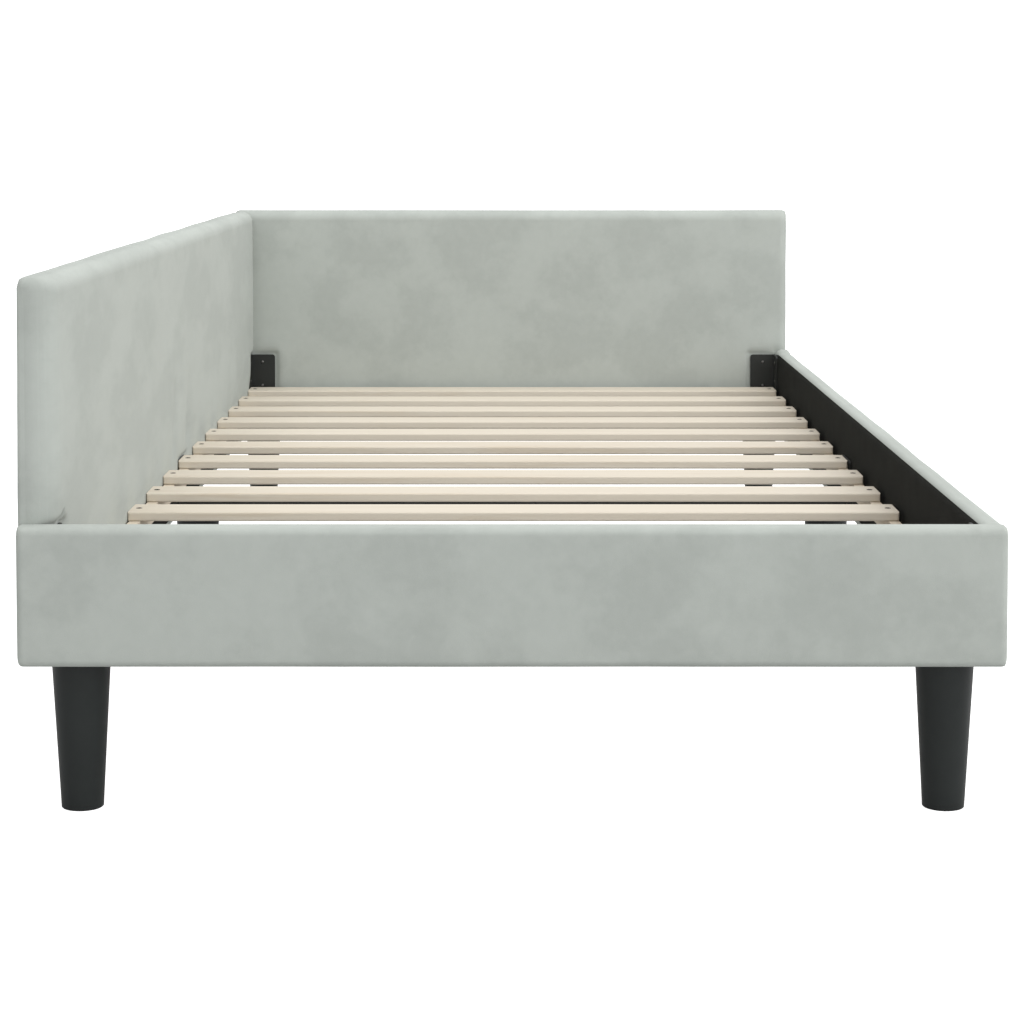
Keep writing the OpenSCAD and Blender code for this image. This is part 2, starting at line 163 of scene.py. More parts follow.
def velvet_material():
    """Short-pile velvet: brushed patches, short upright streaks of nap, a fine pile and a sheen."""
    mat, nodes, links, shader = new_material("velvet")
    plain = scaled_place(nodes, links, (1.0, 1.0, 1.0))
    lengthwise = scaled_place(nodes, links, (1.0, 0.4, 1.0))
    patches = noise_node(nodes, links, lengthwise, 8.0, 6.0, 0.62)
    patches = map_range(nodes, links, patches, 0.44, 0.56, 0.36, 0.64)
    streaks = noise_node(nodes, links, lengthwise, 60.0, 3.0, 0.6, 0.2)
    pile = noise_node(nodes, links, plain, 1400.0, 2.0, 0.6)
    tone = mixed(nodes, links, patches, 0.70, streaks, 0.30)
    tone = mixed(nodes, links, tone, 0.86, pile, 0.14)
    colour = colour_ramp(nodes, links, tone, [
        (0.36, shade(VELVET, 0.925)),
        (0.50, VELVET),
        (0.64, shade(VELVET, 1.06)),
    ])
    links.new(colour, shader.inputs["Base Color"])
    rough = map_range(nodes, links, streaks, 0.3, 0.7, 0.78, 0.92)
    links.new(rough, shader.inputs["Roughness"])
    shader.inputs["Specular IOR Level"].default_value = 0.12
    shader.inputs["Sheen Weight"].default_value = 0.12
    shader.inputs["Sheen Roughness"].default_value = 0.42
    shader.inputs["Sheen Tint"].default_value = (0.92, 0.95, 0.92, 1.0)
    height = maths(nodes, links, "ADD", pile, maths(nodes, links, "MULTIPLY", streaks, 0.5))
    add_bump(nodes, links, shader, height, 0.35, 0.0006)
    return mat


def lining_material():
    """Thin black non-woven cloth with a pressed dot grain."""
    mat, nodes, links, shader = new_material("lining")
    plain = scaled_place(nodes, links, (1.0, 1.0, 1.0))
    fibres = noise_node(nodes, links, plain, 260.0, 4.0, 0.7)
    cloudy = noise_node(nodes, links, plain, 22.0, 3.0, 0.5)
    tone = mixed(nodes, links, fibres, 0.5, cloudy, 0.5)
    colour = colour_ramp(nodes, links, tone, [
        (0.30, (0.006, 0.006, 0.005)),
        (0.70, (0.014, 0.0145, 0.012)),
    ])
    links.new(colour, shader.inputs["Base Color"])
    dots = nodes.new("ShaderNodeTexVoronoi")
    dots.inputs["Scale"].default_value = 700.0
    links.new(plain, dots.inputs["Vector"])
    shader.inputs["Roughness"].default_value = 0.9
    shader.inputs["Specular IOR Level"].default_value = 0.15
    height = maths(nodes, links, "ADD", dots.outputs["Distance"], fibres)
    add_bump(nodes, links, shader, height, 0.4, 0.0005)
    return mat


def along_grain(axis, scale):
    """Scales that stretch a texture along one axis and leave the others."""
    return tuple(scale if k == axis else 1.0 for k in range(3))


def wood_material(name, colour, ring_tone, along):
    """Pale sanded softwood; along is 0 where the grain runs along X and 1 where it runs along Y."""
    mat, nodes, links, shader = new_material(name)
    grain_place = scaled_place(nodes, links, along_grain(along, 0.05))
    pore_place = scaled_place(nodes, links, along_grain(along, 0.02))
    board_place = scaled_place(nodes, links, along_grain(along, 0.2))
    rings = noise_node(nodes, links, grain_place, 60.0, 4.0, 0.6, 1.2)
    pores = noise_node(nodes, links, pore_place, 900.0, 3.0, 0.65)
    cloudy = noise_node(nodes, links, board_place, 5.0, 2.0, 0.5)
    tone = mixed(nodes, links, rings, 0.5, cloudy, 0.35)
    tone = maths(nodes, links, "ADD", tone, maths(nodes, links, "MULTIPLY", pores, 0.15))
    stops = [
        (0.34, tuple(c * t for c, t in zip(colour, ring_tone))),
        (0.48, colour),
        (0.66, tuple(min(c * 1.05, 0.95) for c in colour)),
    ]
    links.new(colour_ramp(nodes, links, tone, stops), shader.inputs["Base Color"])
    rough = map_range(nodes, links, pores, 0.3, 0.7, 0.55, 0.72)
    links.new(rough, shader.inputs["Roughness"])
    shader.inputs["Specular IOR Level"].default_value = 0.3
    height = maths(nodes, links, "ADD", pores, maths(nodes, links, "MULTIPLY", rings, 0.5))
    add_bump(nodes, links, shader, height, 0.25, 0.0004)
    return mat


def coated_material(name, colour, low_rough, high_rough, grain, metallic=0.0, specular=0.5):
    """Smooth coated or moulded surface with a fine orange-peel texture and faint handling marks."""
    mat, nodes, links, shader = new_material(name)
    plain = scaled_place(nodes, links, (1.0, 1.0, 1.0))
    peel = noise_node(nodes, links, plain, grain, 2.0, 0.5)
    marks = noise_node(nodes, links, plain, 18.0, 4.0, 0.6)
    links.new(colour_ramp(nodes, links, marks, [
        (0.30, shade(colour, 0.88)),
        (0.70, shade(colour, 1.12)),
    ]), shader.inputs["Base Color"])
    rough = map_range(nodes, links, marks, 0.3, 0.7, low_rough, high_rough)
    links.new(rough, shader.inputs["Roughness"])
    shader.inputs["Metallic"].default_value = metallic
    shader.inputs["Specular IOR Level"].default_value = specular
    add_bump(nodes, links, shader, peel, 0.15, 0.0003)
    return mat


def stage_material():
    """White paper floor, lifted a little where the camera looks straight at it."""
    mat, nodes, links, shader = new_material("pale_floor")
    path = nodes.new("ShaderNodeLightPath")
    lift = maths(nodes, links, "MULTIPLY", path.outputs["Is Camera Ray"], 0.95)
    shader.inputs["Emission Color"].default_value = (1.0, 1.0, 1.0, 1.0)
    links.new(lift, shader.inputs["Emission Strength"])
    shader.inputs["Base Color"].default_value = (0.50, 0.50, 0.50, 1.0)
    shader.inputs["Roughness"].default_value = 0.9
    shader.inputs["Specular IOR Level"].default_value = 0.0
    return mat


MATERIALS = {
    "velvet": velvet_material(),
    "lining": lining_material(),
    "foam": coated_material("foam", (0.70, 0.66, 0.50), 0.9, 0.95, 500.0),
    "board": wood_material("board", (0.45, 0.31, 0.19), (0.8, 0.76, 0.7), 1),
    "slat_wood": wood_material("slat_wood", (0.619, 0.560, 0.468), (0.93, 0.885, 0.83), 0),
    "batten_wood": wood_material("batten_wood", (0.615, 0.540, 0.435), (0.92, 0.87, 0.8), 1),
    "black_steel": coated_material("black_steel", (0.0155, 0.0172, 0.0155), 0.45, 0.6, 900.0, 0.0, 0.4),
    "leg_plastic": coated_material("leg_plastic", (0.012, 0.0150, 0.0145), 0.36, 0.46, 1200.0, 0.0, 0.35),
    "glide": coated_material("glide", (0.03, 0.03, 0.03), 0.85, 0.95, 700.0),
    "zinc_screw": coated_material("zinc_screw", (0.20, 0.197, 0.19), 0.35, 0.5, 1500.0, 1.0),
    "black_screw": coated_material("black_screw", (0.008, 0.007, 0.006), 0.8, 0.9, 1500.0, 0.0, 0.0),
}


SLOTS = {part["node"]: part["material_slot"] for part in frame["record"]["subparts"]}


def paint_frame():
    """Gives every carried-over CAD node the material of its slot in the record."""
    for part in frame["record"]["subparts"]:
        node = frame["nodes"][part["node"]]
        node.data.materials.clear()
        node.data.materials.append(MATERIALS[part["material_slot"]])


# ---------------------------------------------------------------- mesh helpers

def make_piece(name, verts, faces, slot, replaced=(), smooth=True):
    """A new mesh piece on the bed's one body, which may stand for CAD nodes."""
    mesh = bpy.data.meshes.new(name)
    mesh.from_pydata([tuple(v) for v in verts], [], faces)
    mesh.validate()
    mesh.update()
    piece = bpy.data.objects.new(name, mesh)
    bpy.context.scene.collection.objects.link(piece)
    mesh.polygons.foreach_set("use_smooth", [smooth] * len(mesh.polygons))
    mesh.materials.append(MATERIALS[slot])
    if replaced:
        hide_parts(*replaced)
    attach(piece, "root")
    return piece


def spread(low, high, step, dense=()):
    """Values from low to high about step apart, with extra ones round each (place, reach, fine)."""
    count = max(2, int(round((high - low) / step)))
    values = list(np.linspace(low, high, count + 1))
    for place, reach, fine in dense:
        start, stop = max(low, place - reach), min(high, place + reach)
        values = [v for v in values if v < start - fine or v > stop + fine or v in (low, high)]
        values += list(np.arange(start, stop + fine / 2, fine))
    return np.unique(np.clip(np.round(values, 6), low, high))


def wobble(points, seed, size, waves=14):
    """Smooth seeded noise from sine waves about size metres long, roughly from -1 to 1."""
    rng = np.random.default_rng(seed)
    directions = rng.normal(size=(waves, 3))
    directions /= np.linalg.norm(directions, axis=1)[:, None]
    lengths = size * rng.uniform(0.6, 1.6, waves)
    phases = rng.uniform(0, 2 * math.pi, waves)
    waves_at = points @ (directions / lengths[:, None] * 2 * math.pi).T + phases
    return np.sin(waves_at).sum(axis=1) / math.sqrt(waves)


def groove(points, start, stop, depth, width):
    """Depth of a soft groove along the line from start to stop, fading out at both ends."""
    start, stop = np.array(start), np.array(stop)
    run = stop - start
    length = np.linalg.norm(run)
    along = np.clip((points - start) @ run / length ** 2, 0.0, 1.0)
    away = np.linalg.norm(points - start - along[:, None] * run, axis=1)
    fade = np.sin(math.pi * np.clip(along, 0.0, 1.0)) ** 0.5
    return depth * fade * np.exp(-(away / width) ** 2)


def smooth_step(values, start, stop):
    """0 up to start and 1 from stop, with an even bend at both."""
    share = np.clip((values - start) / (stop - start), 0.0, 1.0)
    return share * share * (3 - 2 * share)


def press(points, low, high, depth, soft):
    """Depth of a dent that is full inside the box from low to high and fades over soft metres."""
    outside = np.maximum(np.maximum(np.array(low) - points, points - np.array(high)), 0.0)
    away = np.linalg.norm(outside, axis=1)
    return depth * np.exp(-(away / soft) ** 2)


# ---------------------------------------------------------------- upholstered panels

# A panel is a loop of points round its cross-section, carried along its length. In the cross-section
# u goes through the panel's thickness and v goes up. Its two ends are rounded and closed.

CORNER_STEPS = 8


def rounded_loop(u0, u1, v0, v1, radii, v_values, u_values):
    """Closed loop, anticlockwise from the low-low corner; radii are low-low, high-low, high-high, low-high.
    v_values and u_values, from 0 to 1, place the points on the straight stretches."""
    span = min(u1 - u0, v1 - v0) / 2 * 0.98
    r = [min(x, span) for x in radii]
    corners = [(u0 + r[0], v0 + r[0], 180), (u1 - r[1], v0 + r[1], 270),
               (u1 - r[2], v1 - r[2], 0), (u0 + r[3], v1 - r[3], 90)]
    arcs = []
    for (cu, cv, start), radius in zip(corners, r):
        angles = np.radians(np.linspace(start, start + 90, CORNER_STEPS + 1))
        arcs.append([(cu + radius * math.cos(a), cv + radius * math.sin(a)) for a in angles])
    loop = []
    for k in range(4):
        loop += arcs[k]
        (ua, va), (ub, vb) = arcs[k][-1], arcs[(k + 1) % 4][0]
        between = (u_values if k % 2 == 0 else v_values)
        between = between if k < 2 else [1 - t for t in reversed(between)]
        loop += [(ua + (ub - ua) * t, va + (vb - va) * t) for t in between]
    return np.array(loop)


def end_drop(distance, radius):
    """How far a rounded end's side has drawn in at this distance from the end."""
    if radius <= 0 or distance >= radius:
        return 0.0
    return radius - math.sqrt(max(radius ** 2 - (radius - distance) ** 2, 0.0))


def end_stations(radii):
    """Distances from a panel's end that follow its roundings closely."""
    turns = np.linspace(0, math.pi / 2, 10)
    places = sorted(r * (1 - math.cos(a)) for r in radii for a in turns)
    kept = [0.0]
    for place in places:
        if place > kept[-1] + 0.2 * MM:
            kept.append(place)
    return np.array(kept)


def coons(loop, n_u, n_v):
    """Grid of points across a closed end, from a loop that is split into bottom, right, top and left."""
    half = CORNER_STEPS // 2
    ring = np.roll(loop, -half, axis=0)
    bottom = ring[0:n_u + 1]
    right = ring[n_u:n_u + n_v + 1]
    top = ring[n_u + n_v:2 * n_u + n_v + 1][::-1]
    left = np.vstack([ring[2 * n_u + n_v:], ring[:1]])[::-1]
    a = np.linspace(0, 1, n_u + 1)[:, None, None]
    b = np.linspace(0, 1, n_v + 1)[None, :, None]
    corners = ((1 - a) * (1 - b) * bottom[0] + a * (1 - b) * bottom[-1]
               + a * b * top[-1] + (1 - a) * b * top[0])
    return ((1 - a) * left[None] + a * right[None] + (1 - b) * bottom[:, None]
            + b * top[:, None] - corners)


def panel_piece(name, axis, box, radii, ends, seams, shape, node):
    """A padded panel. axis is the one it runs along; box is ((u0, u1), (v0, v1), (s0, s1)).
    radii round its section; ends gives, for each end, the (low u, high u, low v, high v) roundings.
    seams are (v places, s places) that get a finer mesh. shape moves the points along their normals."""
    (u0, u1), (v0, v1), (s0, s1) = box
    seam_v, seam_s = seams
    v_low, v_high = v0 + max(radii[0], radii[1]), v1 - max(radii[2], radii[3])
    v_places = spread(v_low, v_high, 0.010, [(v, 0.006, 0.0012) for v in seam_v])[1:-1]
    v_values = list((v_places - v_low) / (v_high - v_low))
    u_values = list(np.linspace(0, 1, 6)[1:-1])
    near_places, far_places = s0 + end_stations(ends[0]), s1 - end_stations(ends[1])
    middle = spread(near_places[-1] + 2 * MM, far_places[-1] - 2 * MM, 0.010,
                    [(s, 0.006, 0.0012) for s in seam_s])
    stations = np.unique(np.concatenate([near_places, middle, far_places]))
    rings = []
    for s in stations:
        near, far = ends
        drop = [max(end_drop(s - s0, a), end_drop(s1 - s, b)) for a, b in zip(near, far)]
        loop = rounded_loop(u0 + drop[0], u1 - drop[1], v0 + drop[2], v1 - drop[3],
                            radii, v_values, u_values)
        rings.append(loop)
    count = len(rings[0])
    n_u = CORNER_STEPS + len(u_values) + 1
    n_v = CORNER_STEPS + len(v_values) + 1

    def lifted(loop, s):
        flat = loop.reshape(-1, 2)
        out = np.empty((len(flat), 3))
        out[:, 2] = flat[:, 1]
        out[:, 0 if axis == 1 else 1] = flat[:, 0]
        out[:, axis] = s
        return out

    verts = [lifted(ring, s) for ring, s in zip(rings, stations)]
    faces = []
    for i in range(len(rings) - 1):
        for j in range(count):
            k = (j + 1) % count
            a, b = i * count, (i + 1) * count
            faces.append((a + j, a + k, b + k, b + j))
    base = len(rings) * count
    half = CORNER_STEPS // 2
    for end, ring_index in ((0, 0), (1, len(rings) - 1)):
        grid = coons(rings[ring_index], n_u, n_v)
        inner = grid[1:-1, 1:-1]
        verts.append(lifted(inner, stations[ring_index]))
        index = np.empty((n_u + 1, n_v + 1), int)
        index[1:-1, 1:-1] = base + np.arange(inner.shape[0] * inner.shape[1]).reshape(inner.shape[:2])
        rim = [(half + j) % count + ring_index * count for j in range(count)]
        index[:, 0] = rim[0:n_u + 1]
        index[-1, :] = rim[n_u:n_u + n_v + 1]
        index[:, -1] = rim[n_u + n_v:2 * n_u + n_v + 1][::-1]
        index[0, :] = (rim[2 * n_u + n_v:] + rim[:1])[::-1]
        for i in range(n_u):
            for j in range(n_v):
                quad = (index[i, j], index[i + 1, j], index[i + 1, j + 1], index[i, j + 1])
                faces.append(tuple(int(q) for q in (quad if end else quad[::-1])))
        base += inner.shape[0] * inner.shape[1]
    piece = make_piece(name, np.vstack(verts), faces, "velvet", (node + "_cover", node + "_foam"))
    fix_normals(piece.data)
    points = np.array([v.co for v in piece.data.vertices])
    normals = np.array([v.normal for v in piece.data.vertices])
    moved = points + normals * shape(points, normals)[:, None]
    piece.data.vertices.foreach_set("co", moved.ravel())
    piece.data.update()
    return piece


def fix_normals(mesh):
    """Joins doubled points and turns every face outwards."""
    work = bmesh.new()
    work.from_mesh(mesh)
    bmesh.ops.remove_doubles(work, verts=work.verts, dist=1e-7)
    bmesh.ops.recalc_face_normals(work, faces=work.faces)
    work.to_mesh(mesh)
    work.free()
    mesh.update()


def facing(normals, axis, sign):
    """1 where the surface faces that way along the axis, falling to 0 at 45 degrees and beyond."""
    return np.clip((normals[:, axis] * sign - 0.7) / 0.25, 0.0, 1.0)


def undulation(points, seed):
    """Gentle unevenness of padding under a tight cover."""
    return (0.55 * MM * wobble(points, seed, 0.34) + 0.22 * MM * wobble(points, seed + 1, 0.11)
            + 0.05 * MM * wobble(points, seed + 2, 0.035))


def lining_recess(points, normals, node, axis, sign):
    """Recess in a cover's inner face that its black lining lies in."""
    low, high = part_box(node)
    inside = np.ones(len(points))
    for k in range(3):
        if k != axis:
            inside *= (points[:, k] > low[k] + LINING_LAP) & (points[:, k] < high[k] - LINING_LAP)
    return -1.3 * MM * inside * (normals[:, axis] * sign > 0.7)


LINING_LAP = 1.0 * MM

# The pressed seam on the high panels' backs: distance from the edges, depth and half-width
SEAM_IN = 18 * MM
SEAM_DEPTH = 1.3 * MM
SEAM_HALF = 1.6 * MM


def rear_seam(points, low, high, run):
    """Depth of the seam's rectangle on a panel from low to high whose length lies along the axis run."""
    along, z = points[:, run], points[:, 2]
    depth = np.zeros(len(points))
    inside = (along > low[run] + SEAM_IN) & (along < high[run] - SEAM_IN)
    for line_z in (low.z + SEAM_IN, high.z - SEAM_IN):
        depth += inside * SEAM_DEPTH * np.exp(-((z - line_z) / SEAM_HALF) ** 2)
    inside = (z > low.z + SEAM_IN) & (z < high.z - SEAM_IN)
    for line in (low[run] + SEAM_IN, high[run] - SEAM_IN):
        depth += inside * SEAM_DEPTH * np.exp(-((along - line) / SEAM_HALF) ** 2)
    return depth


# The covers' lowest and highest corners
FOOT_LOW, FOOT_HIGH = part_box("foot_rail_cover")
SIDE_LOW, SIDE_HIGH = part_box("side_rail_cover")
BACK_LOW, BACK_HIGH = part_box("backrest_cover")
HEAD_LOW, HEAD_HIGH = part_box("headboard_cover")
BACK_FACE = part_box("batten_left")[0].x
LINING_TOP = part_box("backrest_lining")[1].z
RAIL_LINING_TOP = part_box("side_rail_lining")[1].z

# How far the brackets' flanges reach along the backrest
FLANGE_W = 47.5 * MM
FOOT_FLANGE = (FOOT_HIGH.y, FOOT_HIGH.y + FLANGE_W)
HEAD_FLANGE = (HEAD_LOW.y - FLANGE_W, HEAD_LOW.y)
MID_FLANGE = (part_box("mid_bracket_left")[0].y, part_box("mid_bracket_left")[1].y)
FLANGE_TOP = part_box("corner_bracket_head_left")[1].z
MID_FLANGE_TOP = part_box("mid_bracket_left")[1].z


def bracket_dents(points):
    """How fully the padding is held down, from 0 to 1, where the brackets are screwed on it."""
    dent = np.zeros(len(points))
    flanges = ((FOOT_FLANGE, FLANGE_TOP), (HEAD_FLANGE, FLANGE_TOP), (MID_FLANGE, MID_FLANGE_TOP))
    for (start, stop), top in flanges:
        low = (BACK_FACE - 0.02, start, BACK_LOW.z)
        high = (BACK_FACE + 0.02, stop, top)
        dent = np.maximum(dent, press(points, low, high, 1.0, 0.006))
    return dent


# How far the two low rails' padding swells at the most
RAIL_SWELL = 0.9 * MM


def foot_rail():
    low, high = FOOT_LOW, FOOT_HIGH

    def shape(points, normals):
        move = undulation(points, 11)
        out = facing(normals, 1, -1)
        tall = (points[:, 2] - low.z) / (high.z - low.z)
        move += out * RAIL_SWELL * np.sin(math.pi * np.clip(tall, 0, 1)) ** 0.7
        ends = np.minimum(points[:, 0] - low.x, high.x - points[:, 0])
        move -= out * 0.8 * MM * np.exp(-(ends / 0.03) ** 2)
        move *= 1 - np.clip(2 * normals[:, 1], 0, 1)
        move *= 1 - 0.8 * facing(normals, 2, -1)
        move += lining_recess(points, normals, "foot_rail_lining", 1, 1)
        for x in (low.x, high.x):
            top = (x, low.y + 0.007, high.z - 0.004)
            move -= groove(points, top, (x, high.y - 0.006, high.z - 0.030), 0.6 * MM, 0.0022)
        ends_on = np.maximum(facing(normals, 0, 1), facing(normals, 0, -1))
        move *= 1 - 0.8 * np.maximum(ends_on, facing(normals, 2, 1))
        return np.minimum(move, RAIL_SWELL)

    inset = 0.3 * MM
    box = ((low.y + 0.8 * MM, high.y), (low.z, high.z - inset), (low.x + inset, high.x - inset))
    end = (0.008, 0.003, 0.005, 0.0035)
    panel_piece("foot_rail_velvet", 0, box, (0.008, 0.002, 0.003, 0.009), (end, end),
                ((RAIL_LINING_TOP,), ()), shape, "foot_rail")


# The side rail's padding is rounded over towards the bed, and its lining follows it. The board
# inside is bevelled to suit.
SIDE_BEVEL = 8 * MM
SIDE_TURN = 12 * MM
TOP_INSET = 0.3 * MM
# How far its cover rises where it is tucked in against the headboard
TUCK_RISE = 4.0 * MM


def side_rail():
    low, high = SIDE_LOW, SIDE_HIGH

    def shape(points, normals):
        move = undulation(points, 21)
        tall = (points[:, 2] - low.z) / (high.z - low.z)
        move += facing(normals, 0, 1) * RAIL_SWELL * np.sin(math.pi * np.clip(tall, 0, 1)) ** 0.7
        move *= 1 - np.clip(-3 * normals[:, 0], 0, 1)
        move *= 1 - np.abs(facing(normals, 1, 1) + facing(normals, 1, -1))
        move *= 1 - 0.8 * facing(normals, 2, 1)
        tucked = smooth_step(points[:, 1], high.y - 0.040, high.y - 0.008)
        move += TUCK_RISE * tucked * np.clip(normals[:, 2], 0, 1) ** 2
        move += lining_recess(points, normals, "side_rail_lining", 0, -1)
        return np.minimum(move, RAIL_SWELL + TUCK_RISE * tucked)

    box = ((low.x, high.x), (low.z, high.z - TOP_INSET), (low.y, high.y))
    end = (0.001, 0.003, 0.001, 0.003)
    panel_piece("side_rail_velvet", 1, box, (0.002, 0.007, 0.008, SIDE_TURN), (end, end),
                ((RAIL_LINING_TOP,), ()), shape, "side_rail")


def side_board():
    """The board inside the side rail, bevelled along the top towards the bed."""
    low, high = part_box("side_rail_board")
    section = [(low.x, low.z), (high.x, low.z), (high.x, high.z),
               (low.x + SIDE_BEVEL, high.z), (low.x, high.z - SIDE_BEVEL)]
    verts = [(x, y, z) for y in (low.y, high.y) for x, z in section]
    count = len(section)
    faces = [tuple(range(count)), tuple(range(2 * count - 1, count - 1, -1))]
    for k in range(count):
        m = (k + 1) % count
        faces.append((m, k, k + count, m + count))
    make_piece("side_rail_core", verts, faces, SLOTS["side_rail_board"], ("side_rail_board",), False)


# Soft folds that the mid bracket pulls into the backrest's padding: place along the bed, lean at the
# top, height of the top, depth and half-width
CREASES = (
    (-0.100, 0.006, 0.385, 4.6 * MM, 0.017),
    (0.062, 0.004, 0.380, 4.6 * MM, 0.030),
)
# The backrest's bulge towards the bed at each height, as a share of its crown
RISE_Z = [0.2355, 0.2385, 0.2535, 0.275, 0.300, 0.330, 0.370, 0.430, 0.540, 0.588]
RISE = [0.0, 0.48, 0.52, 0.78, 0.92, 0.96, 0.98, 1.0, 1.0, 0.9]
# Beside the slats' ends the padding stays even, to be clear of them, up to the first height. It is
# free again at the second.
SLAT_BAND = (0.255, 0.280)


# The fold that opens above the foot-end bracket: its edge climbs at this slope along the bed
FOLD_SLOPE = 0.42
FOLD_START = FOOT_FLANGE[0] + 10 * MM


def backrest():
    low, high = BACK_LOW, BACK_HIGH
    crown = high.x - BACK_FACE

    def shape(points, normals):
        y, z = points[:, 1], points[:, 2]
        free = smooth_step(z, *SLAT_BAND)
        move = undulation(points, 31) * free
        inner = np.clip(normals[:, 0], 0, 1) ** 1.2
        dent = bracket_dents(points)
        squeezed = np.exp(-((y - HEAD_FLANGE[0] + 0.014) / 0.014) ** 2) * free
        squeezed *= np.clip((FLANGE_TOP + 0.01 - z) / 0.02, 0, 1)
        rise = np.interp(z, RISE_Z, RISE) + 0.12 * squeezed
        front = smooth_step(y, low.y, low.y + 0.07)
        fold_z = FLANGE_TOP + 2 * MM + FOLD_SLOPE * (y - FOLD_START)
        hollow = smooth_step(fold_z - z, -0.004, 0.006) * smooth_step(z, FLANGE_TOP - 0.03, FLANGE_TOP)
        hollow *= 1 - smooth_step(y, FOOT_FLANGE[1] - 0.009, FOOT_FLANGE[1] - 0.001)
        move += inner * (1 - np.maximum(dent, hollow)) * crown * rise * (0.7 + 0.3 * front)
        move -= inner * (dent * 0.4 + hollow * 0.8) * MM * (z > LINING_TOP)
        for crease_y, lean, crease_top, depth, width in CREASES:
            top = (BACK_FACE + 0.004, crease_y + lean, crease_top)
            foot = (BACK_FACE, crease_y, LINING_TOP - 0.03)
            move -= inner * free * groove(points, top, foot, depth, width)
        outer = facing(normals, 0, -1)
        move -= outer * (0.2 + 2.2 * np.clip((z - 0.30) / 0.28, 0, 1)) * MM
        move -= outer * rear_seam(points, low, high, 1)
        move += lining_recess(points, normals, "backrest_lining", 0, 1)
        tuck = (low.x + 0.003, low.y + 0.003, high.z - 0.004)
        move -= groove(points, tuck, (low.x + 0.007, low.y, high.z - 0.018), 0.7 * MM, 0.0022)
        move *= 1 - facing(normals, 1, 1)
        return move

    box = ((low.x + 2.0 * MM, BACK_FACE), (low.z, high.z - 0.8 * MM), (low.y, high.y))
    near = (0.0045, 0.027, 0.003, 0.012)
    far = (0.001, 0.010, 0.001, 0.012)
    seam_v = (LINING_TOP, SLAT_BAND[0], FLANGE_TOP + 0.003, FLANGE_TOP + 0.014,
              low.z + SEAM_IN, high.z - SEAM_IN)
    seam_s = (low.y + SEAM_IN, high.y - SEAM_IN, FOOT_FLANGE[1] - 0.012, FOOT_FLANGE[1] + 0.001,
              HEAD_FLANGE[0] - 0.003,
              MID_FLANGE[0] - 0.003, MID_FLANGE[1] + 0.003)
    panel_piece("backrest_velvet", 1, box, (0.004, 0.0015, 0.022, 0.009), (near, far),
                (seam_v, seam_s), shape, "backrest")


def headboard():
    low, high = HEAD_LOW, HEAD_HIGH

    def shape(points, normals):
        x, z = points[:, 0], points[:, 2]
        move = undulation(points, 41)
        front = np.clip(-normals[:, 1], 0, 1) ** 1.2
        tall = np.clip((z - LINING_TOP) / (high.z - LINING_TOP), 0, 1)
        wide = np.clip((x - low.x) / (high.x - low.x), 0, 1)
        bulge = 4.2 * MM * np.sin(math.pi * tall) ** 0.4 * np.sin(math.pi * wide) ** 0.3
        dent, swell = np.zeros(len(points)), np.zeros(len(points))
        held = ((BACK_FACE, BACK_FACE + FLANGE_W, FLANGE_TOP),
                (SIDE_LOW.x - FLANGE_W, SIDE_LOW.x, FLANGE_TOP),
                (SIDE_LOW.x, high.x, SIDE_HIGH.z))
        for start_x, stop_x, top in held:
            start = (start_x, low.y - 0.02, low.z)
            stop = (stop_x, low.y + 0.02, top)
            dent = np.maximum(dent, press(points, start, stop, 1.0, 0.008))
            swell = np.maximum(swell, press(points, start, stop, 1.0, 0.030))
        bulge += 3.0 * MM * swell * (z > LINING_TOP)
        bulge *= np.clip((x - BACK_FACE) / 0.02, 0, 1)
        move += front * bulge * (1 - dent)
        move -= front * 0.4 * MM * dent * (z > LINING_TOP)
        rear = facing(normals, 1, 1)
        move -= rear * 0.3 * MM
        move -= rear * rear_seam(points, low, high, 0)
        for edge in (low.x, high.x):
            top = (edge, low.y + 0.012, high.z - 0.006)
            move -= groove(points, top, (edge, low.y + 0.020, high.z - 0.045), 0.4 * MM, 0.0025)
        move *= 1 - 0.7 * facing(normals, 2, 1)
        move += lining_recess(points, normals, "headboard_lining", 1, -1)
        return move

    inset = 0.5 * MM
    box = ((low.y + 1.2 * MM, high.y - inset), (low.z, high.z - 0.6 * MM), (low.x + inset, high.x - inset))
    left = (0.010, 0.009, 0.003, 0.006)
    right = (0.014, 0.009, 0.003, 0.006)
    seam_v = (LINING_TOP, FLANGE_TOP + 0.004, low.z + SEAM_IN, high.z - SEAM_IN)
    seam_s = (low.x + SEAM_IN, high.x - SEAM_IN, BACK_FACE + FLANGE_W + 0.004,
              SIDE_LOW.x - FLANGE_W - 0.004)
    panel_piece("headboard_velvet", 0, box, (0.001, 0.004, 0.009, 0.018), (left, right),
                (seam_v, seam_s), shape, "headboard")


# ---------------------------------------------------------------- linings

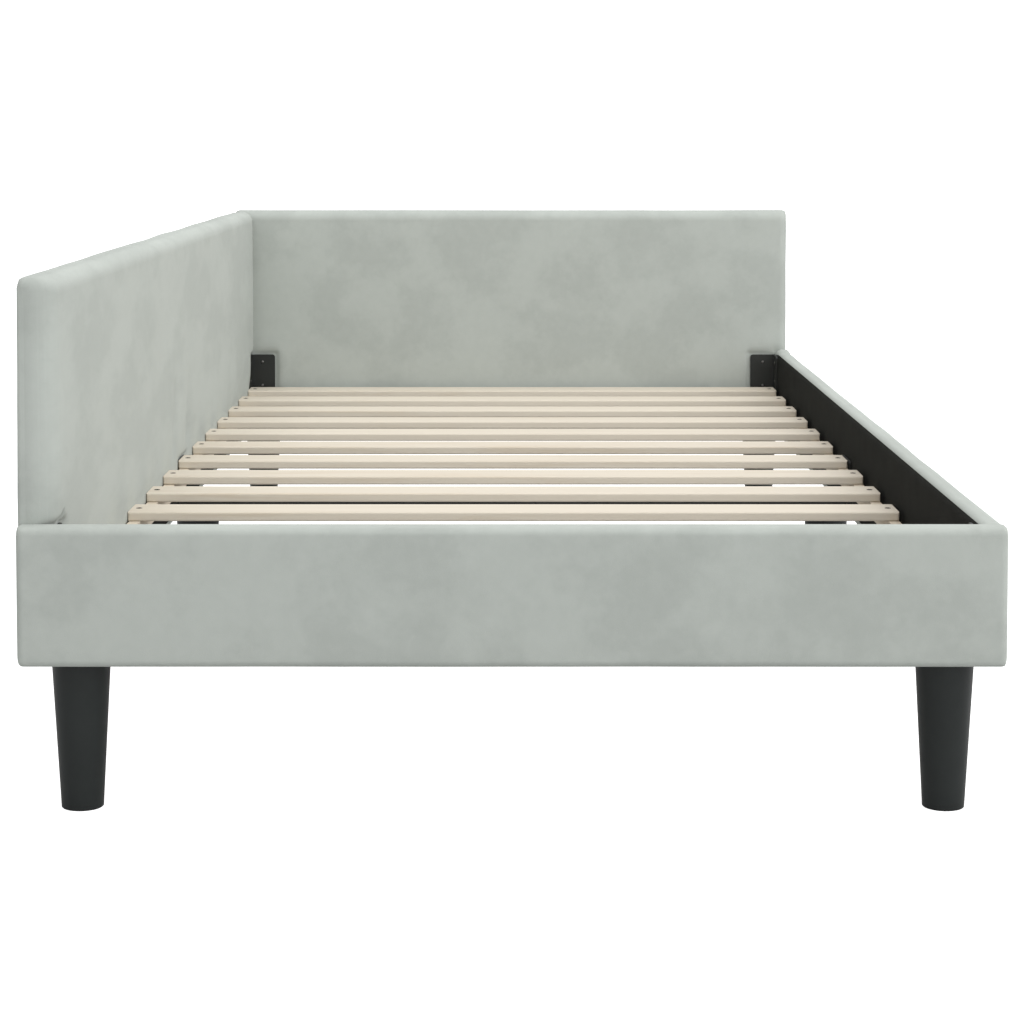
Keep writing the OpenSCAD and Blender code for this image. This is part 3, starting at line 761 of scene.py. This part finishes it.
def lining(node, axis, sign, seed, turn=0.0):
    """The black cloth on a panel's inner face, lying flat, as a thin closed sheet.
    turn is the radius of the rounding that its top edge follows."""
    low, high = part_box(node)
    face = high[axis] if sign > 0 else low[axis]
    run = 1 if axis == 0 else 0
    s_values = np.linspace(low[run], high[run], int((high[run] - low[run]) / 0.02) + 1)
    z_values = spread(low.z, high.z, 0.008, [(high.z - 0.004, 0.006, 0.0012)])
    n_z = len(z_values)
    grid = np.zeros((len(s_values), n_z, 3))
    grid[:, :, run] = s_values[:, None]
    grid[:, :, 2] = z_values[None, :]
    grid[:, :, axis] = face - sign * 0.5 * MM
    points = grid.reshape(-1, 3)
    tall = high.z - low.z
    if turn:
        start_z = SIDE_HIGH.z - TOP_INSET - turn
        climb = np.clip(points[:, 2] - start_z, 0, turn)
        points[:, axis] -= sign * (turn - np.sqrt(turn ** 2 - climb ** 2))
        tall += turn * math.asin((high.z - start_z) / turn) - (high.z - start_z)
    edge = np.minimum.reduce([points[:, run] - low[run], high[run] - points[:, run],
                              points[:, 2] - low.z, high.z - points[:, 2]])
    slack = np.clip(edge / 0.02, 0, 1)
    points[:, axis] += sign * slack * (0.12 * MM * wobble(points, seed, 0.06)
                                       + 0.10 * MM * wobble(points, seed + 1, 0.25))
    faces = []
    for i in range(len(s_values) - 1):
        for j in range(n_z - 1):
            a = i * n_z + j
            faces.append((a, a + n_z, a + n_z + 1, a + 1))
    piece = make_piece(node + "_cloth", points, faces, "lining", (node,))
    solid = piece.modifiers.new("thickness", "SOLIDIFY")
    solid.thickness = 0.5 * MM
    solid.offset = 0.0
    return piece


# ---------------------------------------------------------------- screws

def add_screw(verts, faces, tip, top, head_r, head_h, shaft_r, dome, turn):
    """Adds a screw with a cross recess, from its tip to the top of its head."""
    axis = (top - tip).normalized()
    side = axis.orthogonal().normalized()
    other = axis.cross(side)
    length = (top - tip).length
    profile = [(0.1 * shaft_r, length), (shaft_r, length - 3 * MM), (shaft_r, head_h), (head_r, head_h),
               (head_r, 0.45 * head_h)]
    for share in (0.94, 0.84, 0.72, 0.60, 0.50, 0.40, 0.28, 0.14):
        profile.append((head_r * share, dome * head_h * share ** 2))
    around = 28
    first = len(verts)
    for radius, depth in profile:
        for k in range(around):
            angle = 2 * math.pi * k / around
            a, b = radius * math.cos(angle), radius * math.sin(angle)
            c = a * math.cos(turn) + b * math.sin(turn)
            d = b * math.cos(turn) - a * math.sin(turn)
            in_cross = min(abs(c), abs(d)) < 0.13 * head_r and radius < 0.62 * head_r and depth < head_h
            drop = depth + (0.6 * head_h if in_cross else 0.0)
            verts.append(top + side * a + other * b - axis * drop)
    for i in range(len(profile) - 1):
        for k in range(around):
            m = (k + 1) % around
            low, high = first + i * around, first + (i + 1) * around
            faces.append((low + k, low + m, high + m, high + k))
    last = first + (len(profile) - 1) * around
    verts.append(top - axis * 0.6 * head_h)
    for k in range(around):
        faces.append((last + k, last + (k + 1) % around, len(verts) - 1))
    faces.append(tuple(range(first + around - 1, first - 1, -1)))


# How much higher the slat screws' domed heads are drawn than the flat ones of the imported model
HEAD_LIFT = 1.2 * MM


def screws(node, slot_name, shaft_r, head_h, dome, head_on_top, seed):
    """Replaces a CAD node's plain screws. Heads face up, or else towards the middle of the bed."""
    rng = random.Random(seed)
    verts, faces = [], []
    for low, high in solids_of(node):
        middle = (low + high) / 2
        size = high - low
        run = 2 if head_on_top else (0 if size.x > size.y else 1)
        sign = 1 if run == 2 or middle[run] < 0 else -1
        tip, top = middle.copy(), middle.copy()
        tip[run] = low[run] if sign > 0 else high[run]
        top[run] = high[run] if sign > 0 else low[run]
        head_r = size[(run + 1) % 3] / 2 * (1.0 if head_on_top else 0.8)
        if head_on_top:
            top.z += HEAD_LIFT
        add_screw(verts, faces, tip, top, head_r, head_h, shaft_r, dome, rng.uniform(0, math.pi / 2))
    make_piece(node + "_driven", verts, faces, slot_name, (node,), smooth=False)


def solids_of(node):
    """(lowest, highest corner) of each separate solid in a CAD node."""
    mesh = frame["nodes"][node].data
    work = bmesh.new()
    work.from_mesh(mesh)
    bmesh.ops.remove_doubles(work, verts=work.verts, dist=1e-6)
    seen, boxes = set(), []
    for start in work.verts:
        if start in seen:
            continue
        stack, group = [start], []
        seen.add(start)
        while stack:
            vert = stack.pop()
            group.append(vert.co.copy())
            for edge in vert.link_edges:
                other = edge.other_vert(vert)
                if other not in seen:
                    seen.add(other)
                    stack.append(other)
        low = Vector(min(p[k] for p in group) for k in range(3))
        high = Vector(max(p[k] for p in group) for k in range(3))
        boxes.append((low, high))
    work.free()
    return boxes


# ---------------------------------------------------------------- stage and light

def make_stage():
    floor_half = 14.0
    verts = [(-floor_half, -floor_half, 0), (floor_half, -floor_half, 0),
             (floor_half, floor_half, 0), (-floor_half, floor_half, 0)]
    mesh = bpy.data.meshes.new("floor")
    mesh.from_pydata(verts, [], [(0, 1, 2, 3)])
    floor = bpy.data.objects.new("floor", mesh)
    mesh.materials.append(stage_material())
    bpy.context.scene.collection.objects.link(floor)


def area_light(name, place, aim, size, power):
    data = bpy.data.lights.new(name, "AREA")
    data.shape = "RECTANGLE"
    data.size, data.size_y = size
    data.energy = power
    light = bpy.data.objects.new(name, data)
    light.location = place
    light.rotation_euler = (Vector(aim) - Vector(place)).to_track_quat("-Z", "Y").to_euler()
    bpy.context.scene.collection.objects.link(light)


def make_light():
    """A soft studio: a room brighter from the right and the front, and two large lamps."""
    world = bpy.data.worlds.new("studio")
    world.use_nodes = True
    nodes, links = world.node_tree.nodes, world.node_tree.links
    back = nodes["Background"]
    back.inputs["Color"].default_value = (1.0, 1.0, 1.0, 1.0)
    way = nodes.new("ShaderNodeTexCoord")
    split = nodes.new("ShaderNodeSeparateXYZ")
    links.new(way.outputs["Generated"], split.inputs["Vector"])
    across = map_range(nodes, links, split.outputs["X"], -0.9, 0.1, 0.29, 1.25)
    along = map_range(nodes, links, split.outputs["Y"], -1.0, 1.0, 1.32, 0.78)
    glow = maths(nodes, links, "MULTIPLY", across, along)
    path = nodes.new("ShaderNodeLightPath")
    seen = maths(nodes, links, "MULTIPLY", path.outputs["Is Camera Ray"], 2.0)
    links.new(maths(nodes, links, "MAXIMUM", glow, seen), back.inputs["Strength"])
    bpy.context.scene.world = world
    area_light("top", (0.0, -0.2, 3.4), (0, 0, 0.2), (4.2, 5.0), 54.0)
    area_light("right_key", (3.6, -2.2, 2.0), (0, 0, 0.3), (2.6, 2.2), 32.0)
    view = bpy.context.scene.view_settings
    view.view_transform = "Standard"
    view.look = "None"


make_camera()
paint_frame()
foot_rail()
side_rail()
side_board()
backrest()
headboard()
lining("foot_rail_lining", 1, 1, 51)
lining("side_rail_lining", 0, -1, 61, SIDE_TURN)
lining("backrest_lining", 0, 1, 71)
lining("headboard_lining", 1, -1, 81)
screws("slat_screws", "black_screw", 1.7 * MM, 1.6 * MM, 0.5, True, 91)
screws("bracket_screws", SLOTS["bracket_screws"], 1.7 * MM, 1.4 * MM, 0.6, False, 92)
make_stage()
make_light()
